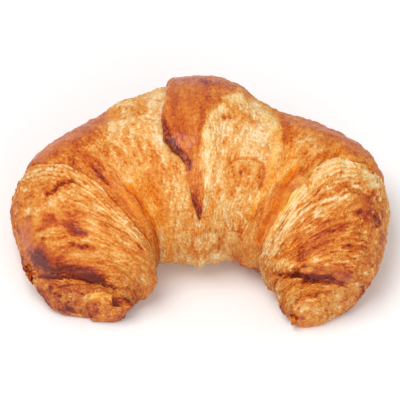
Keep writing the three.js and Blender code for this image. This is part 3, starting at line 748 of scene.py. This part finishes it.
# The tongue: the point of the dough triangle, from the back over the top to the front. Its edges
# are stations and its thickness millimetres, at angles in degrees.
tongue = {
    "angle": [-90, -45, 0, 33, 49, 69, 82, 97, 105, 109, 114, 127, 137, 146, 153],
    "left": [-2, -1.3, -0.8, -0.72, -0.74, -0.93, -1.1, -1.22, -1, -0.78, -0.58, -0.5, -0.4,
             -0.25, -0.05],
    "right": [1.5, 1.2, 1.05, 0.95, 0.85, 0.6, 0.42, 0.3, 0.3, 0.3, 0.3, 0.32, 0.34, 0.3, 0.1],
    "thick": [0, 1, 2.6, 3.4, 3.6, 3.8, 4, 4.1, 3.2, 2.2, 1.6, 1.4, 1.3, 1.1, 0.2],
    "brown": [0.5, 0.54, 0.62, 0.68, 0.68, 0.68, 0.67, 0.68, 0.66, 0.6, 0.52, 0.56, 0.74, 0.82, 0.8],
    "brownRight": [1.5, 1.3, 1.25, 1.15, 0.98, 0.64, 0.38, 0.04, -0.03, -0.02, 0.02, 0.15, 0.2,
                   0.15, 0.0],
    "rim": 1.6,          # radius of its left edge
    "rimStart": -1.2,    # radians at which the rim's curve begins, under the surface
    "fade": 0.8,         # stations over which it thins out on the right
    "fadeOver": (153, 120),     # degrees between which that fade opens, from the point up
    "sunk": 3.0,         # its hidden underside lies this deep in the middle layer
    "span": (-80, 152.9),       # degrees that it covers
    "wander": 0.012,     # of its left edge, in stations
    "thinFrom": (0.72, 0.8),    # shares of the solid part where the top thins and then dips
    "dip": 0.6,          # millimetres that it dips into the middle layer
    "even": 0.45,        # how much of the fine relief its glazed top loses
    "fray": 0.035,       # of the edge of its colour, in stations
    "colourEdge": (-0.06, 0.08),
    "rimBrownAndShade": 0.22,    # how much darker the low side of its rim is: browned crust and painted shade
    "rimSide": (0.2, 0.75),     # shares of the thickness over which that ends
    "mottle": 0.9,       # how much of the crust's pattern shows in its colour
    "calm": 0.6,         # how tight its crust is
}


# The tongue as a closed loop carried along the angle: from its buried left side out and up round
# a rolled rim, over its top, thinning out to the right and back through the middle layer
def tongueShell(along=420, rim=30, across=120, under=24):
    t = tongue
    turn = np.linspace(*t["span"], along)[:, None]
    angle = np.radians(turn)
    value = lambda key: np.interp(turn, t["angle"], t[key])
    left = value("left") + t["wander"] * cloud(onRoll(turn * 0, angle, 2.2), 401, 3)
    right, thick = value("right"), value("thick")
    radius = np.minimum(t["rim"], 0.5 * thick) / roll["stationLength"]
    swing = np.linspace(t["rimStart"], np.pi / 2, rim)[None, :]
    w = np.linspace(0, 1, across)[None, :]
    back = np.linspace(1, 0, under)[None, :]
    start, end = left + radius, right + t["fade"] * ease(*t["fadeOver"], turn)
    solid = np.clip((right - start) / np.maximum(end - start, 1e-3), 0.3, 1)
    station = np.concatenate([left + radius * (1 - np.cos(swing)), start + (end - start) * w,
                              start + (end - start) * back], 1)
    sink = -t["sunk"] * np.sin(np.pi * back) ** 0.5 - t["dip"] * (back > 0.5) - 0.05
    thins, dips = t["thinFrom"]
    high = np.concatenate([thick * (0.5 + 0.5 * np.sin(swing)),
                           thick * (1 - ease(solid * thins, 1.0, w))
                           - t["dip"] * ease(solid * dips, 1.0, w),
                           np.broadcast_to(sink, (along, under))], 1)
    angle = np.broadcast_to(angle, station.shape)
    footAt = roundTheRoll(edges["leftMiddle"]["place"], angle)
    lipAt = roundTheRoll(edges["rightMiddle"]["place"], angle)
    share = (station - footAt) / (lipAt - footAt)
    relief, looks = dressedCrust("middle", share, station, angle, "tongue")
    smooth = layerRelief("middle", share, angle) + knobRelief(station, angle)
    highShare = high / np.maximum(thick, 0.3)
    relief = smooth + (relief - smooth) * (1 - t["even"] * ease(0.0, 0.5, highShare))
    ragged = station + t["fray"] * cloud(onRoll(station, angle, 3.0, 1.6), 405, 3)
    edge = 1 - ease(*t["colourEdge"], ragged - value("brownRight"))
    # the low side of the rim is darker: browned crust and painted shade under the overhang
    rimBrownAndShade = t["rimBrownAndShade"] * (1 - ease(*t["rimSide"], highShare)) * (station < start)
    mottle = t["mottle"] * (looks["brown"] - plainBrown("middle", station, angle))
    brown = value("brown") + rimBrownAndShade + mottle
    looks["brown"] = np.clip(looks["brown"] + (brown - looks["brown"]) * edge, 0, 1)
    looks["orange"] = looks["orange"] * (1 - edge)
    looks["calm"] = looks["calm"] + (t["calm"] - looks["calm"]) * edge
    rings = crustPoint(station, angle, relief + high)
    ends = np.stack([rings[0].mean(0), rings[-1].mean(0)])
    print("tongue")
    return "tongue", rings, ends, looks


# Loose flakes and nubs: station, angle in degrees, how it is turned, half length, half width and
# half thickness in millimetres, how far its end bends up, and its browning
flakes = {
    "flakeFarLeft": (-5.5, 9, 80, 3.5, 1.8, 1.5, 0.4, 0.74),
    "flakeLowLeft": (-6.75, -3, 75, 3.4, 1.7, 1.3, 0.7, 0.86),
    "nubLeft": (-9.0, 170, 60, 3.4, 2.2, 1.5, 1.2, 0.78),
    "nubRight": (9.3, 196, 40, 2.6, 1.8, 1.1, 0.8, 0.6),
    "flakeTopLeft": (-1.9, 40, 30, 3.4, 1.6, 0.8, 0.6, 0.4),
    "flakeTopRight": (1.9, 36, 120, 2.4, 1.2, 0.7, 0.6, 0.5),
    "flakeLeftHorn": (-5.0, 24, 100, 2.8, 1.0, 0.6, 0.6, 0.45),
    "flakeRightHorn": (5.2, 27, 100, 3.0, 0.9, 0.6, 0.5, 0.5),
}


# What all flakes share, in millimetres
flakeMake = {
    "grain": 1.3, "rough": 0.14,
    "lift": 0.6,             # how far the middle of a flake stands above the crust
    "floor": 0.05,           # no flake goes lower than this
    "heart": 15.0,           # height of the point inside the roll that a flake faces away from
    "mottle": 0.08, "paleTop": 0.15, "topFrom": (0.3, 1.2),
}


# A flake is a flat egg lying on the crust, roughened by noise: half sizes times the cosine and
# sine of a sphere's angles, in the crust's own directions, its far end lifted by a parabola
def flakeShell(name, count=60, around=90):
    station, turn, twist, long, wide, thick, bend, brown = flakes[name]
    m = flakeMake
    angle = math.radians(turn)
    step = 0.02
    nearby = crustPoint(np.array([station, station + step, station]),
                        np.array([angle, angle, angle + step]), np.zeros(3))
    tangent, along = nearby[2] - nearby[0], nearby[1] - nearby[0]
    tangent, along = tangent / np.linalg.norm(tangent), along / np.linalg.norm(along)
    here = np.array([station])
    outlines = alongOutline(roll["outer"], here) + alongOutline(roll["inner"], here)
    heart = np.array([*(outlines[0] / 2), m["heart"]])
    normal = np.cross(along, tangent)
    normal = normal / np.linalg.norm(normal) * np.sign(np.dot(normal, nearby[0] - heart))
    c, sn = math.cos(math.radians(twist)), math.sin(math.radians(twist))
    first, second = tangent * c + along * sn, along * c - tangent * sn
    u = np.linspace(-np.pi / 2, np.pi / 2, count + 2)[:, None]
    v = (2 * np.pi * np.arange(around) / around)[None, :]
    ball = np.stack([np.sin(u) + 0 * v, np.cos(u) * np.cos(v), np.cos(u) * np.sin(v)], -1)
    q = ball * [long, wide, wide] / m["grain"] + station
    rough = 1 + m["rough"] * cloud(q, 501, 3)
    x, y, z = (ball[..., k] * rough for k in range(3))
    place = (nearby[0] + first * (x * long)[..., None] + second * (y * wide)[..., None]
             + normal * (z * thick + bend * np.clip(x, 0, 2) ** 2 + m["lift"])[..., None])
    place[..., 2] = np.maximum(place[..., 2], m["floor"])
    browned = brown + m["mottle"] * cloud(q, 507, 3) - m["paleTop"] * ease(*m["topFrom"], z)
    looks = {"brown": np.clip(browned, 0, 1)[1:-1], "orange": 0 * x[1:-1], "calm": 0 * x[1:-1]}
    return name, place[1:-1], np.stack([place[0, 0], place[-1, 0]]), looks


# A socket that can be used in a formula: each operator adds the Math node that works it out
class Wire:
    def __init__(self, finish, socket):
        self.finish = finish
        self.socket = socket

    def math(self, operation, first, second=None):
        inputs = {0: first} if second is None else {0: first, 1: second}
        return self.finish.node("ShaderNodeMath", {"operation": operation}, inputs)

    def __add__(self, other):
        return self.math("ADD", self, other)

    def __sub__(self, other):
        return self.math("SUBTRACT", self, other)

    def __rsub__(self, other):
        return self.math("SUBTRACT", other, self)

    def __mul__(self, other):
        return self.math("MULTIPLY", self, other)

    def __truediv__(self, other):
        return self.math("DIVIDE", self, other)

    __radd__ = __add__
    __rmul__ = __mul__


# A material and its nodes. node() adds any node: its type, its settings, which are set first, the
# values or links of its sockets, and which output to use.
class Finish:
    def __init__(self, name):
        self.material = bpy.data.materials.new(name)
        self.material.use_nodes = True
        self.tree = self.material.node_tree
        self.tree.nodes.clear()

    def node(self, kind, settings=None, inputs=None, output=0):
        made = self.tree.nodes.new(kind)
        for key, value in (settings or {}).items():
            if key == "stops":
                self.setStops(made.color_ramp, value)
            else:
                setattr(made, key, value)
        for key, value in (inputs or {}).items():
            if isinstance(value, Wire):
                self.tree.links.new(value.socket, made.inputs[key])
            else:
                made.inputs[key].default_value = value
        if not made.outputs:
            return None
        return Wire(self, made.outputs[output])

    def setStops(self, ramp, stops):
        while len(ramp.elements) > 1:
            ramp.elements.remove(ramp.elements[-1])
        ramp.elements[0].position, ramp.elements[0].color = stops[0][0], linear(stops[0][1])
        for place, colour in stops[1:]:
            ramp.elements.new(place).color = linear(colour)

    def attribute(self, name):
        return self.node("ShaderNodeAttribute", {"attribute_name": name}, output="Fac")

    def clamp(self, wire, low=0.0, high=1.0):
        return self.node("ShaderNodeClamp", inputs={"Value": wire, "Min": low, "Max": high})

    def mix(self, share, first, second, blend="MIX"):
        made = {"data_type": "RGBA", "blend_type": blend}
        return self.node("ShaderNodeMix", made, {0: share, 6: first, 7: second}, output=2)


# Screen colour, 0 to 255, as the linear colour a shader takes
def linear(colour):
    part = lambda c: c / 12.92 if c <= 0.04045 else ((c + 0.055) / 1.055) ** 2.4
    return (*(part(c / 255) for c in colour), 1.0)


# Baked crust. browning and valley are the colours at each depth of browning, and the roughness,
# coat and specks follow from the same values.
bake = {
    "browning": [(0.0, (249, 227, 184)), (0.1, (243, 207, 152)), (0.2, (237, 185, 117)),
                 (0.3, (231, 166, 90)), (0.4, (226, 148, 66)), (0.5, (219, 129, 46)),
                 (0.6, (208, 108, 30)), (0.7, (193, 85, 17)), (0.8, (172, 62, 8)),
                 (0.9, (142, 42, 3)), (1.0, (98, 25, 2))],
    "valley": [(0.1, (252, 202, 106)), (0.3, (246, 170, 56)), (0.5, (232, 130, 14)),
               (0.7, (208, 94, 2)), (0.9, (162, 56, 0))],
    "speck": 0.32,        # change of browning by the finest specks
    "tightSpeck": 0.5,    # how much less of it on tight crust
    "speckScale": 900.0,
    "fineScale": 2.2,     # how much finer the second pattern is
    "fineHigh": 0.6,      # and how high beside the first
    "rough": 0.62,
    "roughRange": (0.2, 0.9),
    "speckRough": 0.3,    # change of roughness by the specks
    "glaze": 0.30,        # how much smoother the egg wash makes browned crust
    "glazeFrom": 0.35,    # browning at which it sets in, and over which it becomes full
    "tightSmooth": 0.12,  # how much smoother tight crust is
    "shine": 0.12,
    "coat": 0.22,
    "tightCoat": 0.36,
    "orangeDull": 0.85,   # how much of the coat stretched crust loses
    "coatRough": 0.22,
    "bump": 0.8,
    "bumpHigh": 0.0008,
}


# Material of the crust: the browning, changed by fine specks, picks the colour, which turns to the
# purer orange of the valleys where the crust was stretched; browned and tight crust is glossier
def crustFinish(name):
    f = Finish(name)
    b = bake
    place = f.node("ShaderNodeTexCoord", output="Object")
    speck = f.node("ShaderNodeTexNoise", inputs={
        "Vector": place, "Scale": b["speckScale"], "Detail": 3.0, "Roughness": 0.6})
    fine = f.node("ShaderNodeTexNoise", inputs={
        "Vector": place, "Scale": b["speckScale"] * b["fineScale"], "Detail": 2.0, "Roughness": 0.5})
    tight = f.attribute("calm")
    specks = (speck - 0.5) * b["speck"] * 2 * (1 - tight * b["tightSpeck"])
    brown = f.clamp(f.attribute("brown") + specks)
    orange = f.clamp(f.attribute("orange"))
    colour = f.mix(orange, f.node("ShaderNodeValToRGB", {"stops": b["browning"]}, {0: brown}),
                   f.node("ShaderNodeValToRGB", {"stops": b["valley"]}, {0: brown}))
    glaze = f.clamp((brown - b["glazeFrom"]) / b["glazeFrom"])
    rough = f.clamp(b["rough"] - glaze * b["glaze"] - tight * b["tightSmooth"]
                    + (speck - 0.5) * b["speckRough"], *b["roughRange"])
    coat = f.clamp(glaze * b["coat"] + tight * b["tightCoat"]) * (1 - orange * b["orangeDull"])
    bump = f.node("ShaderNodeBump", inputs={
        "Strength": b["bump"], "Distance": b["bumpHigh"], "Height": speck + fine * b["fineHigh"]})
    skin = f.node("ShaderNodeBsdfPrincipled", inputs={
        "Base Color": colour, "Roughness": rough, "Specular IOR Level": b["shine"],
        "Coat Weight": coat, "Coat Roughness": b["coatRough"], "Normal": bump})
    f.node("ShaderNodeOutputMaterial", inputs={"Surface": skin})
    return f.material


# Pale plain floor: half its side in metres, its grey and its roughness
floorLook = {"half": 4.0, "grey": 0.9, "rough": 0.8}


# One square on the level of the base
def makeFloor():
    half, grey = floorLook["half"], floorLook["grey"]
    mesh = bpy.data.meshes.new("floor")
    mesh.from_pydata([(-half, -half, 0), (half, -half, 0), (half, half, 0), (-half, half, 0)],
                     [], [(0, 1, 2, 3)])
    floor = bpy.data.objects.new("floor", mesh)
    bpy.context.scene.collection.objects.link(floor)
    f = Finish("paleFloor")
    skin = f.node("ShaderNodeBsdfPrincipled", inputs={
        "Base Color": (grey, grey, grey, 1), "Roughness": floorLook["rough"]})
    f.node("ShaderNodeOutputMaterial", inputs={"Surface": skin})
    mesh.materials.append(f.material)


# Soft light from all round, and two wide lamps; the camera's angle in degrees, lengths in metres
studio = {
    "sky": 0.56,
    "lamps": [((-0.3, -0.1, 1.1), 0.6, 8.0), ((0.4, -0.9, 0.7), 0.8, 3.2)],    # place, size, watts
    "elevation": 55.0,
    "distance": 1.4,
    "sensor": 36,                         # in millimetres
    "frameWidth": 0.1587,                 # what the picture's width covers at the target
    "target": (0.0, -0.0145, 0.024),      # in the roll's own plan
}


# An even white sky, and lamps that face the frame's origin
def makeStudio():
    scene = bpy.context.scene
    scene.view_settings.view_transform = "Standard"
    world = bpy.data.worlds.new("studio")
    world.use_nodes = True
    sky = world.node_tree.nodes["Background"].inputs
    sky["Color"].default_value = (1, 1, 1, 1)
    sky["Strength"].default_value = studio["sky"]
    scene.world = world
    for k, (place, size, watts) in enumerate(studio["lamps"]):
        lamp = bpy.data.lights.new(f"lamp{k}", "AREA")
        lamp.size, lamp.energy = size, watts
        holder = bpy.data.objects.new(f"lamp{k}", lamp)
        holder.location = place
        holder.rotation_euler = (-Vector(place)).to_track_quat("-Z", "Y").to_euler()
        scene.collection.objects.link(holder)


# A camera above the horns' side: its lens is the sensor times distance over the width it covers
def makeCamera(shift):
    scene = bpy.context.scene
    target = Vector(studio["target"]) + Vector(shift)
    lift = math.radians(studio["elevation"])
    away = Vector((0, -math.cos(lift), math.sin(lift))) * studio["distance"]
    lens = bpy.data.cameras.new("camera")
    lens.sensor_width = studio["sensor"]
    lens.lens = studio["sensor"] * studio["distance"] / studio["frameWidth"]
    camera = bpy.data.objects.new("camera", lens)
    camera.location = target + away
    camera.rotation_euler = (-away).to_track_quat("-Z", "Y").to_euler()
    scene.collection.objects.link(camera)
    scene.camera = camera


shells = [layerShell(name) for name in layers] + [tongueShell()]
everything = np.concatenate([rings.reshape(-1, 3) for _, rings, _, _ in shells])
planMiddle = (everything.min(0) + everything.max(0)) / 2
shift = (np.array(cadBox[0]) + np.array(cadBox[1])) / 2 - planMiddle / 1000
shift[2] = 0
print("the plan lies at", shift)
shells += [flakeShell(name) for name in flakes]
print("flakes", len(flakes))
finish = crustFinish("bakedCrust")
pieces = [tubeMesh(name, rings, ends, looks, shift) for name, rings, ends, looks in shells]
for piece in pieces:
    piece.data.materials.append(finish)
    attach(piece, "root")
    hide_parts("croissant")
print("crust", sum(len(piece.data.polygons) for piece in pieces), "faces")
makeFloor()
makeStudio()
makeCamera(shift)
print("floor, lamps and camera")
